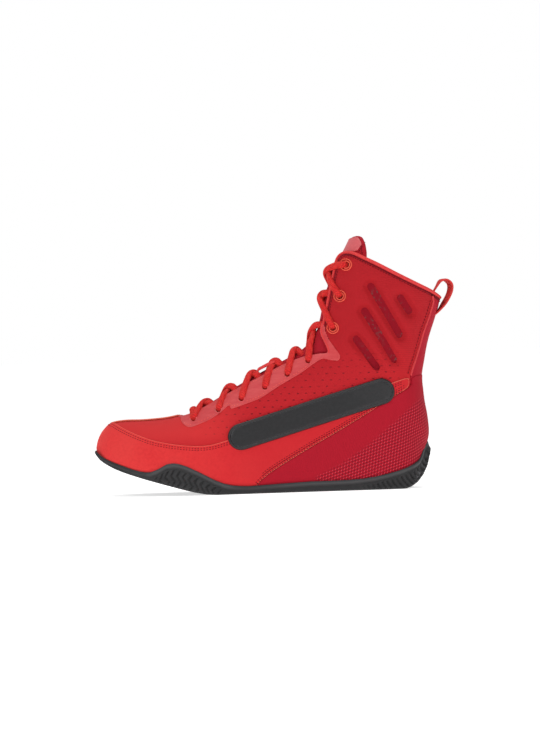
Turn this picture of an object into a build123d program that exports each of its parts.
from build123d import *
from collections import namedtuple
import math
import os

# A mid-height lace-up boxing boot for the left foot, modelled at full size in millimetres.
# +X points to the toe, +Y to the wearer's left (the outer side), +Z up.
# The origin is on the floor, in the flat of the outsole, on the boot's long axis.
# Every layer is the same lofted form grown or shrunk by an offset, and each piece is cut
# from a layer by an outline drawn in side view.

os.makedirs("parts", exist_ok=True)

# ---------------------------------------------------------------- driving dimensions
GAP = 0.06              # assembly clearance between layers
MESH_T = 1.2            # outer knit
STIFF_T = 0.9           # toe puff and heel counter
LINING_T = 0.8          # lining
FOAM_T = 3.9            # ankle padding
OVERLAY_T = 1.2         # suede guard and heel wrap
PANEL_T = 1.1           # padded side panel
FILM_T = 0.45           # welded eyestay film
INSERT_T = 0.5          # slot inserts
TRIM_OUT = 0.7          # reach of binding, piping and rings outside the knit
BINDING_IN = 0.35       # reach of the binding inside the collar lining
WALL_T = 1.4            # outsole side wall
FLOOR_T = 1.8           # outsole floor
SOLE_DROP = 14          # downward extension of the forms that shape the sole
MIDSOLE_INSET = 0.5     # midsole side, in from the overlay surface
MIDSOLE_LIFT = 0.08     # midsole clearance above the outsole floor
MIDSOLE_HEEL_GAP = 0.3  # midsole clearance from the outsole heel
MIDSOLE_TOP_GAP = GAP + 0.12    # midsole clearance below the form's underside
BOARD_LIFT = 0.1        # lasting board above the form's underside
BOARD_T = 1.0           # lasting board
INSOLE_LIFT = 0.2 + BOARD_T     # insole above the form's underside
INSOLE_T = 3.6          # removable insole
TONGUE_T = 3.4          # padded tongue
TONGUE_IN = 4.7         # depth of the tongue ridge under the lace envelope
TONGUE_DIVE = 1.9       # extra depth where the tongue runs under the eyestays
LABEL_T = 0.9           # height of the label's face above the tongue
LACE_R = 1.2            # lace radius
HOLE_R = 2.6            # lace hole radius
RING_R = 4.6            # reinforced ring round an upper lace hole
SLOT_R = 3.0            # half width of a flex slot
SLOT_GAP = 0.05         # clearance round a slot insert
RIM_T = 2.0             # bound edge height
RIM_GAP = 0.1           # clearance of piping and rings below the binding
SEAM_GAP = 0.05         # half gap between a quarter and the back panel
PIPING_HALF = 0.9       # half width of the piping over the back seam
PAD_GAP = 0.05          # clearance of each ankle pad from the centre plane
BAND_GAP = 0.25         # gap between the guard's band and the heel wrap
LOOP_CLEAR = 0.8        # offset of the form that trims the loop anchor

GROOVE_D = 1.0          # tread groove depth
GROOVE_W = 2.2          # tread groove width
TREAD_PITCH = 9.0       # spacing of the tread grooves
CHEVRON_RUN = 9         # forward reach of a chevron point
CHEVRON_SPAN = 22       # width of one chevron leg
TREAD_ROWS = [(22.0, 6), (-80.0, 5)]    # rearmost groove x, number of grooves

PIVOT = (-64.1, 100.2)              # ankle flex axis, along Y
PIVOT_R = 3.2                       # clearance round the flex axis
FOOT_ANGLES = (22.2, 184.7)         # foot-side edges of the ankle joint, degrees
SHAFT_ANGLES = (37.2, 169.0)        # shaft-side edges of the ankle joint
TIP = (-43.6, 202.6)                # fold axis of the tongue tip, along Y
TIP_R = 2.2
TIP_ANGLES = (203.0, 215.0)         # tip-side and shaft-side edges of the fold
LOOP = (-118.3, 160.0)              # swing axis of the pull loop, along Y
LOOP_ANGLES = (70, 222)             # loop-side edges of the swing joint
ANCHOR_ANGLE = 246                  # anchor-side edge of the swing joint
LOOP_HALF = 6.5                     # half width of the webbing

# Cross-sections from the toe to the collar. Each is a plane through a bottom point and a
# top point in the XZ plane, and the Y axis. A share runs from 0 at the bottom to 1 at the top.
Section = namedtuple("Section", "top_x top_z bottom_x bottom_z outer_y inner_y "
                     "start_width bottom_round fullness taper clustering toe_share")
SECTIONS = [Section(*row) for row in [
    (176.7, 44.3, 176.7, 37.6, -2.5, -9.5, 0.90, 0.20, 2.2, 0.00, 0.0, 1.00),
    (175.8, 48.0, 175.8, 36.3, 1.8, -13.8, 0.90, 0.20, 2.3, 0.00, 0.0, 0.95),
    (173.7, 52.6, 173.7, 34.1, 8.2, -20.2, 0.90, 0.20, 2.4, 0.00, 0.0, 0.80),
    (170.0, 57.4, 170.0, 31.3, 14.6, -26.2, 0.90, 0.20, 2.4, 0.00, 0.0, 0.62),
    (164.5, 61.7, 164.5, 28.3, 21.2, -32.0, 0.91, 0.18, 2.4, 0.00, 0.0, 0.44),
    (153.0, 63.5, 153.0, 23.1, 29.8, -38.6, 0.92, 0.15, 2.4, 0.01, 0.0, 0.24),
    (136.0, 63.6, 136.0, 17.7, 37.6, -43.4, 0.93, 0.14, 2.4, 0.03, 0.0, 0.08),
    (114.0, 65.4, 114.0, 13.0, 43.6, -46.2, 0.94, 0.13, 2.6, 0.08, 0.0, 0.0),
    (96.0, 70.4, 96.0, 8.6, 46.2, -46.2, 0.94, 0.12, 3.0, 0.16, 0.0, 0.0),
    (76.0, 81.4, 76.0, 5.8, 46.2, -43.6, 0.94, 0.12, 3.8, 0.26, 0.0, 0.0),
    (54.0, 94.2, 54.0, 4.6, 44.0, -39.0, 0.94, 0.12, 4.8, 0.34, 0.0, 0.0),
    (34.0, 104.9, 30.0, 4.6, 41.0, -34.8, 0.93, 0.12, 5.5, 0.38, 0.0, 0.0),
    (14.7, 114.3, 2.0, 5.0, 38.4, -32.2, 0.92, 0.12, 5.8, 0.38, 0.0, 0.0),
    (0.7, 121.8, -28.0, 5.6, 36.6, -31.6, 0.91, 0.13, 5.5, 0.34, 0.0, 0.0),
    (-6.4, 128.3, -56.0, 6.4, 35.4, -32.2, 0.90, 0.15, 5.0, 0.30, 0.0, 0.0),
    (-11.0, 135.0, -76.0, 8.6, 34.6, -32.8, 0.86, 0.20, 4.6, 0.26, 0.1, 0.0),
    (-13.8, 141.8, -91.0, 13.6, 34.0, -33.0, 0.72, 0.27, 4.4, 0.22, 0.3, 0.0),
    (-15.8, 148.0, -99.2, 23.0, 33.6, -33.0, 0.44, 0.34, 4.2, 0.19, 0.6, 0.0),
    (-17.2, 153.5, -103.6, 34.0, 33.2, -33.0, 0.16, 0.38, 4.0, 0.17, 0.9, 0.0),
    (-18.6, 158.5, -106.9, 46.0, 33.0, -33.0, 0.00, 0.40, 3.9, 0.15, 1.0, 0.0),
    (-20.0, 164.0, -106.2, 60.5, 33.0, -33.0, 0.00, 0.43, 3.8, 0.13, 1.0, 0.0),
    (-21.6, 170.8, -103.9, 75.5, 33.0, -33.0, 0.00, 0.45, 3.7, 0.12, 1.0, 0.0),
    (-23.1, 176.5, -103.0, 91.0, 33.2, -33.2, 0.00, 0.48, 3.6, 0.10, 1.0, 0.0),
    (-24.9, 182.6, -104.4, 108.5, 33.8, -33.8, 0.00, 0.50, 3.5, 0.09, 1.0, 0.0),
    (-27.2, 189.5, -108.2, 126.5, 35.2, -35.2, 0.00, 0.50, 3.4, 0.08, 1.0, 0.0),
    (-31.0, 198.2, -114.0, 143.5, 36.6, -36.6, 0.00, 0.50, 3.4, 0.06, 1.0, 0.0),
    (-37.9, 206.0, -120.0, 160.5, 37.6, -37.6, 0.00, 0.50, 3.4, 0.05, 1.0, 0.0),
    (-43.2, 216.0, -125.6, 173.0, 38.2, -38.2, 0.00, 0.50, 3.4, 0.05, 1.0, 0.0),
]]
TOE_ROWS = 7            # rows whose planes are shared by toe layers of different reach
COLLAR_START = 13       # first row of the layers used only in the shaft
BACK_SEAM_HALF = 0.06   # half width of the slit down the back of the form

# ---------------------------------------------------------------- side-view outlines
# All points are (x, z).
SOLE_BOTTOM = [(180.2, 38.6), (178.8, 36.3), (177.3, 34.0), (175.2, 31.5), (172.1, 29.2),
               (168.7, 27.1), (161.9, 23.6), (155.1, 20.8), (148.3, 18.4), (134.7, 14.0),
               (121.0, 10.0), (107.4, 6.0), (93.7, 2.4), (84.0, 0.6), (75.0, 0.0)]
SOLE_HEEL = [(-86.0, 0.0), (-90.8, 1.4), (-96.5, 4.9), (-102.1, 11.2), (-105.9, 18.7),
             (-108.0, 26.7), (-109.2, 34.8), (-110.5, 42.0)]
SOLE_TOP = [(180.6, 39.8), (177.4, 36.9), (172.1, 33.4), (164.3, 29.8), (154.6, 26.2),
            (147.3, 23.5), (139.9, 21.4), (135.3, 20.6), (131.0, 20.7), (125.0, 22.8),
            (117.0, 27.1), (111.0, 27.8), (106.7, 27.1), (100.3, 24.9), (93.1, 21.5),
            (85.7, 17.6), (76.0, 12.6), (68.6, 9.7), (61.3, 8.2), (54.0, 7.5), (46.5, 7.3),
            (29.9, 7.7), (16.5, 8.2), (-5.4, 9.0), (-21.8, 9.1), (-38.4, 9.4), (-49.3, 10.0),
            (-60.4, 11.2), (-70.1, 13.1), (-80.3, 15.7), (-87.4, 18.0), (-93.6, 20.7),
            (-98.8, 23.8), (-102.6, 27.3), (-106.0, 31.7), (-107.9, 35.0), (-111.0, 41.8)]
FLOOR_TOE = [(181.0, 42.0), (179.2, 39.4), (177.0, 36.4), (174.2, 33.5), (171.4, 31.1),
             (168.2, 29.1), (161.5, 25.6), (154.8, 22.7), (148.0, 20.3), (134.4, 15.9),
             (120.8, 11.9), (107.2, 7.9), (93.5, 4.3), (84.0, 2.4), (75.0, FLOOR_T)]
FLOOR_HEEL = [(-86.0, FLOOR_T), (-89.8, 3.1), (-94.7, 6.4), (-99.6, 12.2), (-103.2, 19.3),
              (-105.6, 27.1), (-107.0, 34.8), (-107.6, 44.0)]
SHAFT_EDGE = [(-12.0, 122.0), (-16.3, 136.3), (-20.1, 148.8), (-23.7, 164.5), (-26.6, 177.5),
              (-28.7, 185.2), (-30.6, 193.5), (-33.0, 200.0), (-38.0, 203.6), (-44.4, 203.8),
              (-49.5, 202.3), (-55.8, 198.9), (-67.2, 193.0), (-84.4, 183.2), (-101.7, 174.2),
              (-110.0, 170.1), (-116.0, 166.4), (-121.5, 161.5), (-127.0, 155.0)]
EYESTAY_EDGE = [(112.0, 64.8), (104.7, 66.5), (95.2, 69.6), (87.1, 73.1), (74.6, 79.4),
                (61.6, 86.4), (51.0, 91.7), (40.4, 96.7), (29.6, 101.9), (19.2, 106.8),
                (8.7, 111.2), (-1.8, 114.4), (-12.1, 116.0), (-21.1, 116.8), (-30.0, 117.2)]
EYESTAY_LOWER = [(104.7, 64.5), (103.5, 62.3), (101.0, 59.4), (96.5, 57.6), (88.0, 59.9),
                 (77.1, 64.3), (68.4, 69.0), (60.2, 72.0), (55.5, 73.6), (41.0, 78.5),
                 (33.8, 81.8), (19.3, 90.7), (1.3, 100.7), (-8.3, 105.0), (-17.5, 108.2),
                 (-30.0, 110.0)]
OUTER_GUARD_TOP = [(176.0, 66.5), (168.0, 63.8), (164.4, 62.6), (160.8, 61.0), (155.5, 58.2),
                   (148.9, 55.0), (141.6, 51.8), (131.9, 48.2), (121.7, 45.4), (110.6, 43.4),
                   (99.4, 42.0), (89.1, 41.5), (78.8, 41.8), (67.5, 43.9), (45.8, 50.6),
                   (24.1, 57.3), (2.4, 64.4), (-19.3, 71.5), (-41.1, 78.6), (-62.8, 85.7),
                   (-84.5, 91.2), (-92.0, 92.2)]
INNER_GUARD_TOP = [(176.0, 66.5), (168.0, 63.8), (160.8, 62.0), (148.9, 61.4), (131.9, 60.6),
                   (121.7, 60.6), (110.6, 60.9), (99.4, 57.6), (89.1, 53.5), (78.8, 50.6),
                   (67.5, 49.6), (45.8, 52.0), (24.1, 57.3), (2.4, 64.4), (-19.3, 71.5),
                   (-41.1, 78.6), (-62.8, 85.7), (-84.5, 91.2), (-92.0, 92.2)]
BAND_LOW = [(-92.0, 89.2), (-90.2, 86.4), (-84.2, 82.7), (-69.3, 74.3), (-54.4, 65.0),
            (-36.0, 54.4), (-22.9, 47.2), (-9.8, 40.1), (3.3, 32.8), (16.5, 25.2),
            (27.9, 18.2), (36.6, 11.6), (43.0, 4.0)]
PUFF_BACK = [(122, 80), (128, 62), (136, 44), (146, 30), (156, 10)]
COUNTER_FRONT = [(-40, -5), (-46, 14), (-56, 34), (-72, 54), (-92, 66), (-120, 70)]
BACK_SEAM = [(-106.0, 174.0), (-111.6, 166.7), (-113.2, 162.9), (-112.6, 157.7), (-108.9, 146.7),
             (-104.2, 134.8), (-100.2, 122.0), (-96.2, 109.2), (-93.3, 99.8), (-92.3, 94.0)]
# Centres of the two round ends of each flex slot
SLOTS = [((-47.3, 128.3), (-62.6, 108.6)), ((-54.8, 151.3), (-78.4, 112.0)),
         ((-60.6, 172.2), (-85.0, 131.0)), ((-86.5, 162.0), (-93.0, 152.0))]
LOWER_HOLES = [(93.6, 64.4), (72.0, 71.8), (52.1, 80.6), (31.8, 89.8), (12.3, 99.8),
               (-5.8, 107.6)]
UPPER_HOLES = [(-28.6, 139.5), (-35.0, 165.7), (-41.0, 190.5)]
BAR_FRONT, BAR_BACK = (64.0, 45.0), (-78.0, 86.5)   # ends of the side bar
BAR_HALF = 9.5                                      # half height of the side bar
BAR_CORNER_R = 5.0
TONGUE_LOW = [(114.0, 60.0), (104.0, 58.0), (92.0, 60.5), (75.0, 66.5), (52.0, 78.0),
              (30.0, 88.0), (8.0, 97.0), (-12.0, 101.5), (-34.0, 103.0)]
TONGUE_BACK = [(-26.0, 98.0), (-36.0, 112.0), (-41.0, 124.0), (-46.0, 140.0), (-51.0, 160.0),
               (-57.0, 180.0), (-63.0, 195.0), (-66.0, 206.0)]
TONGUE_TOP = [(-38.0, 212.0), (-41.5, 214.5), (-46.5, 218.0), (-52.0, 217.4), (-57.0, 213.4),
              (-60.5, 208.0), (-63.0, 200.0), (-64.5, 188.0)]
LABEL = [(-34, 206.6), (-46.0, 206.6), (-53.0, 204.0), (-56.0, 211.0), (-49.5, 215.2),
         (-46, 215.2), (-34, 212)]
# The two faces of the folded webbing
LOOP_OUTSIDE = [(-108.6, 160.5), (-111.8, 168.5), (-114.2, 175.0), (-119.0, 178.8),
                (-125.2, 178.3), (-129.6, 172.8), (-128.6, 164.8), (-124.0, 155.5),
                (-119.0, 147.5), (-114.6, 141.5)]
LOOP_INSIDE = [(-109.9, 160.0), (-113.1, 168.0), (-115.3, 174.2), (-119.4, 177.3),
               (-124.6, 176.8), (-128.1, 172.4), (-127.2, 165.3), (-122.7, 156.2),
               (-117.9, 148.3), (-114.0, 142.6)]


# ---------------------------------------------------------------- cross-sections
def blend_sections(i, k):
    """Smooth (cubic) interpolation between sections i and i + 1, at fraction k."""
    last = len(SECTIONS) - 1
    rows = (SECTIONS[max(i - 1, 0)], SECTIONS[i], SECTIONS[i + 1], SECTIONS[min(i + 2, last)])
    values = []
    for before, start, end, after in zip(*rows):
        start_slope = (end - before) / 2 if i > 0 else end - start
        end_slope = (after - start) / 2 if i + 1 < last else end - start
        values.append((2 * k ** 3 - 3 * k * k + 1) * start + (k ** 3 - 2 * k * k + k) * start_slope
                      + (-2 * k ** 3 + 3 * k * k) * end + (k ** 3 - k * k) * end_slope)
    return Section(*values)


def section_at(position):
    """Straight-line interpolation of the table at a fractional section index."""
    i = min(int(position), len(SECTIONS) - 2)
    k = position - i
    return Section(*[a + (b - a) * k for a, b in zip(SECTIONS[i], SECTIONS[i + 1])])


def axis_of(section):
    """Length and unit XZ direction of a section, from its bottom to its top."""
    dx, dz = section.top_x - section.bottom_x, section.top_z - section.bottom_z
    length = math.hypot(dx, dz)
    return length, dx / length, dz / length


def width_share(section, share):
    """Half width at a height share, as a fraction of the full half width."""
    lack = 1 - section.start_width ** 2
    low = 1 - lack * max(0.0, 1 - share / section.bottom_round) ** 2
    return (math.sqrt(max(low, 0)) * math.sqrt(max(1 - share ** section.fullness, 0))
            * (1 - section.taper * share))


def wall_point(section, side, centre, share, step):
    """Half width, rise and outward normal (y, rise) of one side wall."""
    width = section.outer_y - centre if side > 0 else centre - section.inner_y
    length = axis_of(section)[0]
    low, high = max(share - step, 0), min(share + step, 1)
    dy = width * (width_share(section, high) - width_share(section, low))
    rise = (high - low) * length
    size = math.hypot(dy, rise)
    return width * width_share(section, share), share * length, rise / size, -dy / size


def underside_share(section):
    """1 where the section stands on the sole, falling to 0 where it meets the back."""
    return min(1.0, max(0.0, (section.start_width - 0.3) / 0.4))


def half_profile(section, side, centre, offset, count):
    """Points (distance from centre, rise) of one half, from the bottom edge to the ridge."""
    cluster = section.clustering
    points = []
    for i in range(count + 1):
        t = i / count
        share = ((1 - cluster) * math.sin(math.pi * t / 2)
                 + cluster * (1 - math.cos(math.pi * t)) / 2)
        if i == count:
            y, rise, normal_y, normal_rise = 0.0, axis_of(section)[0], 0.0, 1.0
        else:
            y, rise, normal_y, normal_rise = wall_point(section, side, centre, share, 1e-5)
            if i == 0 and section.start_width > 0.85:
                normal_y, normal_rise = 1.0, 0.0
        grow = offset(abs(y)) if callable(offset) else offset
        points.append((y + normal_y * grow, rise + normal_rise * grow))
    if section.start_width < 0.1:
        points[0] = (BACK_SEAM_HALF, points[0][1])
    return points


def arc_points(section, offset, count):
    """Points (y, rise) over the form, from the outer bottom edge to the inner one."""
    if not callable(offset):
        offset *= 1 - 0.5 * section.toe_share
    centre = (section.outer_y + section.inner_y) / 2 * underside_share(section)
    outer = half_profile(section, 1, centre, offset, count)
    inner = half_profile(section, -1, centre, offset, count)
    return ([(centre + y, rise) for y, rise in outer]
            + [(centre - y, rise) for y, rise in reversed(inner[:-1])])


# ---------------------------------------------------------------- lofted layers
def toe_section(x, offset):
    """Section of the grown form at the plane x ahead of the ball, or None beyond its tip."""
    def at(plane_x):
        for i in range(TOE_ROWS):
            front, back = SECTIONS[i].top_x, SECTIONS[i + 1].top_x
            if front >= plane_x >= back:
                return blend_sections(i, (front - plane_x) / (front - back))

    low, high = SECTIONS[TOE_ROWS].top_x, SECTIONS[0].top_x
    if x > high + offset * SECTIONS[0].toe_share + 1e-6:
        return None
    for _ in range(50):
        middle = (low + high) / 2
        if middle + offset * at(middle).toe_share < x:
            low = middle
        else:
            high = middle
    return at((low + high) / 2)


def toe_stations(outer, inner):
    """(x, outer section, inner section) ahead of the ball, from the tip back."""
    tips = [SECTIONS[0].top_x + offset for offset in (outer, inner) if offset is not None]
    planes = []
    for i in range(TOE_ROWS):
        front, back = SECTIONS[i].top_x, SECTIONS[i + 1].top_x
        for j in range(2 if i > 2 else 1):
            planes.append(front + (back - front) * j / 2)
    planes = [x for x in planes
              if x < tips[0] - 0.25 and all(abs(x - tip) > 0.25 for tip in tips)] + tips
    return [(x, toe_section(x, outer), None if inner is None else toe_section(x, inner))
            for x in sorted(planes, reverse=True)]


def inner_points(outer_points, section, inner_section, offset, count):
    """Inside of a layer's section; a speck on the floor beyond the tip of the inside form."""
    floor = outer_points[0][1]
    if inner_section is None:
        centre = (outer_points[0][0] + outer_points[-1][0]) / 2
        angles = [math.pi * n / (2 * count) for n in range(2 * count + 1)]
        return [(centre + 0.2 * math.cos(a), floor + 0.3 * math.sin(a)) for a in angles]
    lift = inner_section.bottom_z - section.bottom_z
    points = [(y, rise + lift) for y, rise in arc_points(inner_section, offset, count)]
    if section.start_width > 0.3:
        points[0] = (points[0][0], floor)
        points[-1] = (points[-1][0], floor)
    return points


def layer(outer, inner=None, drop=0.0, count=8, start=0):
    """The boot's form between two offsets, open underneath; solid inside when inner is None."""
    stations = toe_stations(outer, inner) if start == 0 else []
    for i in range(max(TOE_ROWS, start), len(SECTIONS) - 1):
        for k in (0.0, 0.5):
            section = blend_sections(i, k)
            stations.append((section.bottom_x, section, section))
    stations.append((SECTIONS[-1].bottom_x, SECTIONS[-1], SECTIONS[-1]))
    with BuildPart() as volume:
        for bottom_x, section, inner_section in stations:
            _, dx, dz = axis_of(section)
            points = arc_points(section, outer, count)
            depth = drop * underside_share(section)
            if depth > 0:
                points = [(points[0][0], -depth)] + points + [(points[-1][0], -depth)]
            with BuildSketch(Plane(origin=(bottom_x, 0, section.bottom_z), x_dir=(0, 1, 0),
                                   z_dir=(dz, 0, -dx))):
                with BuildLine():
                    if inner is None:
                        arc = Spline(*points)
                        Line(arc @ 1, arc @ 0)
                    else:
                        inside_points = inner_points(points, section, inner_section, inner, count)
                        outer_arc = Spline(*points)
                        inner_arc = Spline(*inside_points)
                        Line(outer_arc @ 0, inner_arc @ 0)
                        Line(outer_arc @ 1, inner_arc @ 1)
                make_face()
        loft(ruled=True)
    return volume.part


# ---------------------------------------------------------------- side-view drawing
# Helpers that draw inside a sketch on an XZ plane; the plane faces -Y.
HALF_SPAN = 75                      # reach of the cuts each side of the centre plane
SIDE = Plane.XZ.offset(-HALF_SPAN)
HALVES = (("outer", SIDE), ("inner", Plane.XZ))


def ray(origin, angle, reach=260.0):
    turn = math.radians(angle)
    return (origin[0] + reach * math.cos(turn), origin[1] + reach * math.sin(turn))


def inset(curve, distance):
    """Move a side-view curve to its left-hand side by distance."""
    moved = []
    for i, (x, z) in enumerate(curve):
        before = curve[max(i - 1, 0)]
        after = curve[min(i + 1, len(curve) - 1)]
        dx, dz = after[0] - before[0], after[1] - before[1]
        size = math.hypot(dx, dz)
        moved.append((x - dz / size * distance, z + dx / size * distance))
    return moved


def region(curve, corners=(), mode=Mode.INTERSECT):
    """A smooth curve closed through corner points."""
    with BuildLine(mode=Mode.PRIVATE) as outline:
        edge = Spline(*curve)
        Polyline(edge @ 1, *corners, edge @ 0)
    make_face(outline.line.edges(), mode=mode)


def polygon(points, mode=Mode.INTERSECT):
    with BuildLine(mode=Mode.PRIVATE) as outline:
        Polyline(*points, points[0])
    make_face(outline.line.edges(), mode=mode)


def everything():
    polygon([(-200, -40), (260, -40), (260, 280), (-200, 280)], Mode.ADD)


def discs(points, radius, mode=Mode.SUBTRACT):
    with Locations(*points):
        Circle(radius, mode=mode)


def foot_side():
    polygon([PIVOT, ray(PIVOT, FOOT_ANGLES[0]), (300, 120), (300, -60), (-300, -60), (-300, 60),
             ray(PIVOT, FOOT_ANGLES[1])])
    discs([PIVOT], PIVOT_R)


def shaft_side():
    polygon([PIVOT, ray(PIVOT, SHAFT_ANGLES[0]), (140, 320), (-320, 320), (-320, 200),
             ray(PIVOT, SHAFT_ANGLES[1])])
    discs([PIVOT], PIVOT_R)


def below_throat():
    region(EYESTAY_EDGE, [(-120, 117.2), (-250, 117), (-250, -60), (300, -60), (300, 75),
                          (125, 75), (116, 72)])


def inside_shaft_edge(cut, mode=Mode.INTERSECT):
    region(inset(SHAFT_EDGE, cut), [(-250, 60), (60, 60)], mode)


def ahead_of_seam(shift):
    region(inset(BACK_SEAM, shift), [(60, 94), (60, 174)])


def behind_seam(shift):
    region(inset(BACK_SEAM, shift), [(-160, 94), (-160, 174)])


def slot_shapes(radius, mode):
    for a, b in SLOTS:
        with Locations(((a[0] + b[0]) / 2, (a[1] + b[1]) / 2)):
            SlotCenterToCenter(math.hypot(b[0] - a[0], b[1] - a[1]), 2 * radius,
                               rotation=math.degrees(math.atan2(b[1] - a[1], b[0] - a[0])),
                               mode=mode)


def under_points(lift):
    """The form's underside raised by lift, run out past the toe and heel."""
    points = [(row.bottom_x, row.bottom_z + lift) for row in SECTIONS[:17]]
    return [(190, points[0][1] + 8)] + points + [(-95.0, points[-1][1] + 3.5), (-140, 40)]


def above_under(lift):
    polygon(under_points(lift) + [(-140, 260), (190, 260)])


def below_under(lift):
    polygon(under_points(lift) + [(-140, -30), (190, -30)])


# ---------------------------------------------------------------- pieces by name
SHAPES = {}


def cut_piece(name, form, draw, plane=SIDE, depth=2 * HALF_SPAN):
    """Keep what lies inside the outline that draw() puts on the plane."""
    with BuildPart() as piece:
        add(form)
        with BuildSketch(plane):
            draw()
        extrude(amount=depth, mode=Mode.INTERSECT, clean=False)
    SHAPES[name] = piece.part


# ---------------------------------------------------------------- reference layers
STIFF_OUT = -(MESH_T + GAP)
LINING_OUT = STIFF_OUT - STIFF_T - GAP
COLLAR_OUT = STIFF_OUT - FOAM_T - GAP
COLLAR_IN = COLLAR_OUT - LINING_T
OVER_OUT = GAP + OVERLAY_T
ROOM_OUT = OVER_OUT + GAP           # the room the sole wall leaves for the upper
mesh_layer = layer(0.0, -MESH_T)
stiff_layer = layer(STIFF_OUT, STIFF_OUT - STIFF_T)
lining_layer = layer(LINING_OUT, LINING_OUT - LINING_T)
foam_layer = layer(STIFF_OUT, STIFF_OUT - FOAM_T, start=COLLAR_START)
collar_layer = layer(COLLAR_OUT, COLLAR_IN, start=COLLAR_START)
film_layer = layer(GAP + FILM_T, GAP)
over_layer = layer(OVER_OUT, GAP)
panel_layer = layer(ROOM_OUT + PANEL_T, ROOM_OUT)
rim_layer = layer(TRIM_OUT, COLLAR_IN - BINDING_IN, start=COLLAR_START)
trim_layer = layer(TRIM_OUT, GAP)
insert_layer = layer(-MESH_T + INSERT_T, -MESH_T, start=COLLAR_START)
inside_form = layer(LINING_OUT - LINING_T - GAP)
sole_form = layer(ROOM_OUT + WALL_T, drop=SOLE_DROP)
room_form = layer(ROOM_OUT, drop=SOLE_DROP)
midsole_form = layer(OVER_OUT - MIDSOLE_INSET, drop=SOLE_DROP)
clear_form = layer(LOOP_CLEAR)


def dive(base):
    """Offset that deepens by TONGUE_DIVE away from the ridge."""
    def depth(y):
        k = min(1.0, max(0.0, (y - 4.0) / 5.0))
        return base - TONGUE_DIVE * k * k * (3 - 2 * k)
    return depth


tongue_layer = layer(dive(-TONGUE_IN), dive(-TONGUE_IN - TONGUE_T), count=12, start=7)
label_layer = layer(dive(-TONGUE_IN + LABEL_T), dive(-TONGUE_IN + GAP), count=12, start=20)

# ---------------------------------------------------------------- sole unit
# The room above the outsole floor for the midsole and the lasted upper
with BuildPart() as room:
    add(room_form)
    with BuildSketch(SIDE):
        everything()
        region(FLOOR_TOE, FLOOR_HEEL[:1] + [(-140, FLOOR_T), (-140, 130), (230, 130), (230, 42)])
        region(FLOOR_HEEL, [(-107.6, 80), (230, 80), (230, -5), (-86, -5)])
    extrude(amount=2 * HALF_SPAN, mode=Mode.INTERSECT, clean=False)

with BuildPart() as outsole:
    add(sole_form)
    with BuildSketch(SIDE):
        everything()
        region(SOLE_BOTTOM, SOLE_HEEL[:1] + [(-140, 0), (-140, 120), (220, 120), (220, 38.6)])
        region(SOLE_HEEL, [(-109.2, 60), (220, 60), (220, -5), (-86, -5)])
        region(SOLE_TOP, [(-140, 42), (-140, -20), (220, -20), (220, 42)])
        polygon([(176.7, -20), (176.7, 60), (-140, 60), (-140, -20)])   # blunt tip of the rim
    extrude(amount=2 * HALF_SPAN, mode=Mode.INTERSECT, clean=False)
    # chevron tread in the forefoot and the heel
    with BuildSketch(Plane.XY.offset(-1.0)):
        for x in [first + TREAD_PITCH * i for first, count in TREAD_ROWS for i in range(count)]:
            zigzag = [(x + (CHEVRON_RUN if n % 2 else 0), n * CHEVRON_SPAN) for n in range(-2, 3)]
            with BuildLine():
                Polyline(*zigzag, *[(px + GROOVE_W, py) for px, py in reversed(zigzag)],
                         zigzag[0])
            make_face()
    extrude(amount=1.0 + GROOVE_D, mode=Mode.SUBTRACT)
    add(room.part, mode=Mode.SUBTRACT, clean=False)
SHAPES["outsole"] = outsole.part


def midsole_outline():
    everything()
    region([(x, z + MIDSOLE_LIFT) for x, z in FLOOR_TOE],
           [(-86.0, FLOOR_T + MIDSOLE_LIFT), (-140, FLOOR_T + MIDSOLE_LIFT), (-140, 130),
            (230, 130), (230, 42)])
    region(inset(FLOOR_HEEL, -MIDSOLE_HEEL_GAP), [(-107.6, 80), (230, 80), (230, -5), (-86, -5)])
    below_under(-MIDSOLE_TOP_GAP)
    polygon([(172, -10), (172, 60), (-99, 60), (-99, -10)])


def slab_outline(front, back, lift, thickness):
    """A sheet that follows the underside between two x positions."""
    polygon([(front, -10), (front, 60), (back, 60), (back, -10)], Mode.ADD)
    above_under(lift)
    below_under(lift + thickness)


cut_piece("midsole", midsole_form, midsole_outline)
cut_piece("lasting_board", inside_form, lambda: slab_outline(171, -90, BOARD_LIFT, BOARD_T))
cut_piece("insole", inside_form, lambda: slab_outline(169, -91, INSOLE_LIFT, INSOLE_T))


# ---------------------------------------------------------------- lasted upper, foot side
def foot_outline():
    everything()
    foot_side()
    below_throat()
    discs(LOWER_HOLES, HOLE_R)


def toe_puff_outline():
    everything()
    region(PUFF_BACK, [(240, 10), (240, 80)])


def heel_counter_outline():
    everything()
    region(COUNTER_FRONT, [(-160, 70), (-160, -5)])


cut_piece("mesh_upper", mesh_layer, foot_outline)
cut_piece("toe_puff", stiff_layer, toe_puff_outline)
cut_piece("heel_counter", stiff_layer, heel_counter_outline)
cut_piece("foot_lining", lining_layer, foot_outline)

# The guard's top edge is lower on the outer side, and the second cut brings it down there.
with BuildPart() as toe_guard:
    add(over_layer)
    with BuildSketch(SIDE):
        everything()
        region(INNER_GUARD_TOP, [(-92.0, 89.2), (-92, -20), (230, -20), (230, 66.5)])
        region(BAND_LOW, [(240, 4), (240, 140), (-92, 140)])
    extrude(amount=2 * HALF_SPAN, mode=Mode.INTERSECT, clean=False)
    with BuildSketch(SIDE):
        region(OUTER_GUARD_TOP, [(-92.0, 140), (230, 140), (230, 66.5)], Mode.ADD)
    extrude(amount=HALF_SPAN + 4, mode=Mode.SUBTRACT, clean=False)   # 4 past the centre plane
SHAPES["toe_guard"] = toe_guard.part


def heel_wrap_outline():
    top = inset(BAND_LOW, -BAND_GAP)
    everything()
    region(top, [(43, -20), (-160, -20), (-160, top[0][1])])


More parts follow.
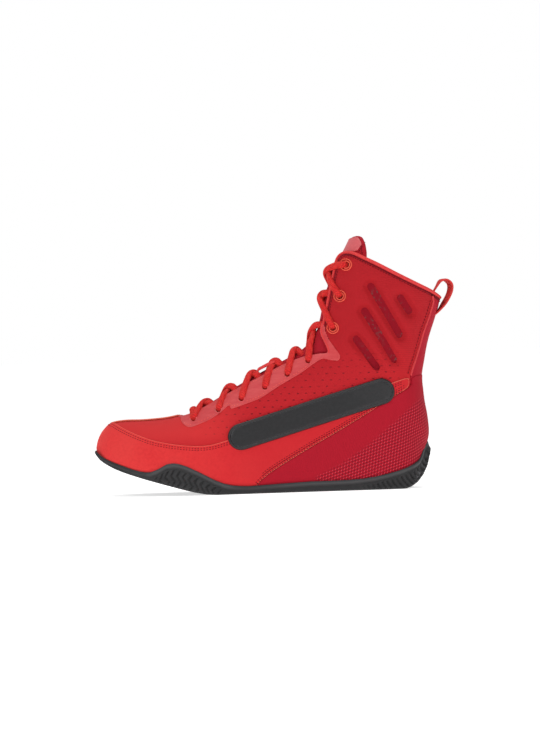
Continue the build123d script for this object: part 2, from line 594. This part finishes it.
def side_panel_outline():
    dx, dz = BAR_BACK[0] - BAR_FRONT[0], BAR_BACK[1] - BAR_FRONT[1]
    with Locations(((BAR_FRONT[0] + BAR_BACK[0]) / 2, (BAR_FRONT[1] + BAR_BACK[1]) / 2)):
        RectangleRounded(math.hypot(dx, dz), 2 * BAR_HALF, BAR_CORNER_R,
                         rotation=math.degrees(math.atan2(dz, dx)))


def eyestay_outline():
    polygon([(-21.5, -10), (104.4, -10), (104.4, 140), (-21.5, 140)], Mode.ADD)
    below_throat()
    foot_side()
    region(EYESTAY_LOWER, [(-30, 140), (104.7, 140)])
    discs(LOWER_HOLES, HOLE_R)


cut_piece("heel_wrap", over_layer, heel_wrap_outline)
for half, half_plane in HALVES:
    cut_piece(f"side_panel_{half}", panel_layer, side_panel_outline, half_plane, HALF_SPAN)
    cut_piece(f"eyestay_{half}", film_layer, eyestay_outline, half_plane, HALF_SPAN)


# ---------------------------------------------------------------- shaft
def shaft_field(cut=RIM_T):
    everything()
    shaft_side()
    inside_shaft_edge(cut)


def quarter_outline():
    shaft_field()
    ahead_of_seam(SEAM_GAP)
    slot_shapes(SLOT_R, Mode.SUBTRACT)
    discs(UPPER_HOLES, HOLE_R)


def back_panel_outline():
    shaft_field()
    behind_seam(-SEAM_GAP)


def collar_outline():
    shaft_field()
    discs(UPPER_HOLES, HOLE_R)


def binding_outline():
    shaft_field(0)
    inside_shaft_edge(RIM_T - GAP, Mode.SUBTRACT)


def insert_outline():
    slot_shapes(SLOT_R - SLOT_GAP, Mode.ADD)
    shaft_side()


def piping_outline():
    shaft_field(RIM_T + RIM_GAP)
    ahead_of_seam(-PIPING_HALF)
    behind_seam(PIPING_HALF)


def ring_outline():
    discs(UPPER_HOLES, RING_R, Mode.ADD)
    inside_shaft_edge(RIM_T + RIM_GAP)
    discs(UPPER_HOLES, HOLE_R)


for half, half_plane in HALVES:
    cut_piece(f"shaft_{half}", mesh_layer, quarter_outline, half_plane, HALF_SPAN)
cut_piece("back_panel", mesh_layer, back_panel_outline)
for half, pad_plane in (("outer", SIDE), ("inner", Plane.XZ.offset(PAD_GAP))):
    cut_piece(f"ankle_pad_{half}", foam_layer, collar_outline, pad_plane, HALF_SPAN - PAD_GAP)
cut_piece("collar_lining", collar_layer, collar_outline)
cut_piece("collar_binding", rim_layer, binding_outline)
cut_piece("slot_inserts", insert_layer, insert_outline)
cut_piece("back_piping", trim_layer, piping_outline)
cut_piece("eyelet_rings", trim_layer, ring_outline)


# ---------------------------------------------------------------- tongue
def tongue_lower_outline():
    polygon([(112, 0), (112, 160), (-33, 160), (-33, 0)], Mode.ADD)
    foot_side()
    region(TONGUE_LOW, [(-60, 104), (-60, 160), (114, 160)])


def tongue_upper_outline():
    everything()
    shaft_side()
    region(TONGUE_BACK, [(60, 206), (60, 98)])
    polygon([TIP, ray(TIP, TIP_ANGLES[1]), (-60, 60), (60, 60), (60, TIP[1])])
    discs([TIP], TIP_R)


def tongue_tip_outline():
    everything()
    region(TONGUE_TOP, [(-64.5, 150), (40, 150), (40, 212.0)])
    polygon([TIP, ray(TIP, TIP_ANGLES[0]), (-200, 270), (60, 270), (60, TIP[1] + 1.0),
             (TIP[0] + 1, TIP[1] + 1.0)])
    discs([TIP], TIP_R)


cut_piece("tongue_lower", tongue_layer, tongue_lower_outline)
cut_piece("tongue_upper", tongue_layer, tongue_upper_outline)
cut_piece("tongue_tip", tongue_layer, tongue_tip_outline)
cut_piece("tongue_label", label_layer, lambda: polygon(LABEL, Mode.ADD))

# ---------------------------------------------------------------- laces
LACE_OVER = GAP + FILM_T + LACE_R + 0.3     # lace centre over the eyestay
CROSS_TOP = -1.0                            # lace centre at a crossing, upper strand
ON_TONGUE = CROSS_TOP - 2 * LACE_R - 0.15   # lace centre on the tongue, lower strand


def skin(position, side, share, offset):
    """A point on the form grown by offset, at a section index and height share."""
    section = section_at(position)
    length, dx, dz = axis_of(section)
    centre = (section.outer_y + section.inner_y) / 2 if section.start_width > 0.5 else 0.0
    if share > 0.9999:
        y, rise, normal_y, normal_rise = 0.0, length, 0.0, 1.0
    else:
        y, rise, normal_y, normal_rise = wall_point(section, side, centre, share, 1e-4)
    y, rise = y + normal_y * offset, rise + normal_rise * offset
    return (section.bottom_x + dx * rise, centre + side * y, section.bottom_z + dz * rise)


def locate(x, z):
    """Section index and height share of the side-view point (x, z)."""
    def fit(position):
        section = section_at(position)
        length, dx, dz = axis_of(section)
        from_x, from_z = x - section.bottom_x, z - section.bottom_z
        return abs(from_x * dz - from_z * dx), position, (from_x * dx + from_z * dz) / length

    fits = [fit(i / 20) for i in range((len(SECTIONS) - 1) * 20 + 1)]
    return min(fits, key=lambda found: found[0])[1:]


def strand_points(hole, edge, next_edge, side, top):
    """Run of a strand out of a hole, over the tongue, to the far throat edge."""
    hole_at, hole_share = locate(*hole)
    edge_at, edge_share = locate(*edge)
    next_at, next_share = locate(*next_edge)
    return [skin(hole_at, side, hole_share, LACE_OVER),
            skin(edge_at, side, edge_share, LACE_OVER),
            skin((edge_at + next_at) / 2, side, 1.0, CROSS_TOP if top else ON_TONGUE),
            skin(next_at, -side, (1 + next_share) / 2, ON_TONGUE)]


def lace_piece(name, holes, throat):
    """Crossed strands between each pair of neighbouring holes."""
    edges = [min(throat, key=lambda q: math.hypot(q[0] - hole[0], q[1] - hole[1]))
             for hole in holes]
    with BuildPart() as lace:
        for i in range(len(holes) - 1):
            for side in (1, -1):
                top = (side > 0) == (i % 2 == 0)    # the upper strand changes sides
                points = strand_points(holes[i], edges[i], edges[i + 1], side, top)
                with BuildLine():
                    run = Spline(*points)
                with BuildSketch(Plane(origin=run @ 0, z_dir=run % 0)):
                    Circle(LACE_R)
                sweep()
    SHAPES[name] = lace.part


lace_piece("lace_lower", LOWER_HOLES, EYESTAY_EDGE)
lace_piece("lace_upper", UPPER_HOLES, SHAFT_EDGE)


# ---------------------------------------------------------------- pull loop
def webbing():
    with BuildLine(mode=Mode.PRIVATE) as outline:
        outside = Spline(*LOOP_OUTSIDE)
        inside = Spline(*LOOP_INSIDE)
        Line(outside @ 0, inside @ 0)
        Line(outside @ 1, inside @ 1)
    make_face(outline.line.edges(), mode=Mode.ADD)


with BuildPart() as pull_loop:
    with BuildSketch(Plane.XZ.offset(-LOOP_HALF)):
        webbing()
        polygon([LOOP, ray(LOOP, LOOP_ANGLES[0]), (-100, 400), (-400, 400), (-400, -100),
                 ray(LOOP, LOOP_ANGLES[1])])
    extrude(amount=2 * LOOP_HALF)
SHAPES["pull_loop"] = pull_loop.part

with BuildPart() as loop_anchor:
    with BuildSketch(Plane.XZ.offset(-LOOP_HALF)):
        webbing()
        polygon([LOOP, ray(LOOP, ANCHOR_ANGLE), (-110, -120), (-60, 60), (-60, 150),
                 (-117.5, 150)])
    extrude(amount=2 * LOOP_HALF)
    add(clear_form, mode=Mode.SUBTRACT, clean=False)
SHAPES["loop_anchor"] = loop_anchor.part

# ---------------------------------------------------------------- seams
# Where two pieces claim the same room the one named first gives way: the upper is trimmed
# along the sole unit, and the soft layers carry a channel for the laces. Order matters, as
# later rows cut with pieces that are already trimmed.
SEAMS = [
    ("toe_guard", ["outsole", "midsole"]),
    ("heel_wrap", ["outsole", "midsole"]),
    ("mesh_upper", ["midsole", "lace_lower"]),
    ("toe_puff", ["mesh_upper"]),
    ("heel_counter", ["midsole"]),
    ("foot_lining", ["midsole", "lace_lower"]),
    ("tongue_lower", ["lace_lower"]),
    ("ankle_pad_outer", ["lace_upper"]),
    ("ankle_pad_inner", ["lace_upper"]),
    ("collar_lining", ["lace_upper"]),
    ("collar_binding", ["lace_upper"]),
    ("tongue_upper", ["collar_binding", "collar_lining", "ankle_pad_outer", "ankle_pad_inner",
                      "lace_upper"]),
]
# Angles at which the folding tongue tip is cleared from the binding
TIP_SWEEP = (5.0, 9.666, 14.0, 18.5, 23.0, 27.336, 32.0, 36.165, 41.0, 45.0)
TIP_AXIS = Axis((TIP[0], 0, TIP[1]), (0, 1, 0))
SLIVER_SHARE = 0.03     # loose solids up to this share of the biggest one are dropped

for name, others in SEAMS:
    tools = [SHAPES[other] for other in others]
    if name == "collar_binding":
        tools += [SHAPES["tongue_tip"].rotate(TIP_AXIS, angle) for angle in TIP_SWEEP]
    with BuildPart() as trimmed:
        add(SHAPES[name])
        for tool in tools:
            add(tool, mode=Mode.SUBTRACT, clean=False)
    solids = trimmed.part.solids()
    biggest = max(solid.volume for solid in solids)
    with BuildPart() as kept:
        for solid in solids:
            if solid.volume > SLIVER_SHARE * biggest:
                add(solid, clean=False)
    SHAPES[name] = kept.part

for name, shape in SHAPES.items():
    shape.label = name
    export_step(shape, f"parts/{name}.step")
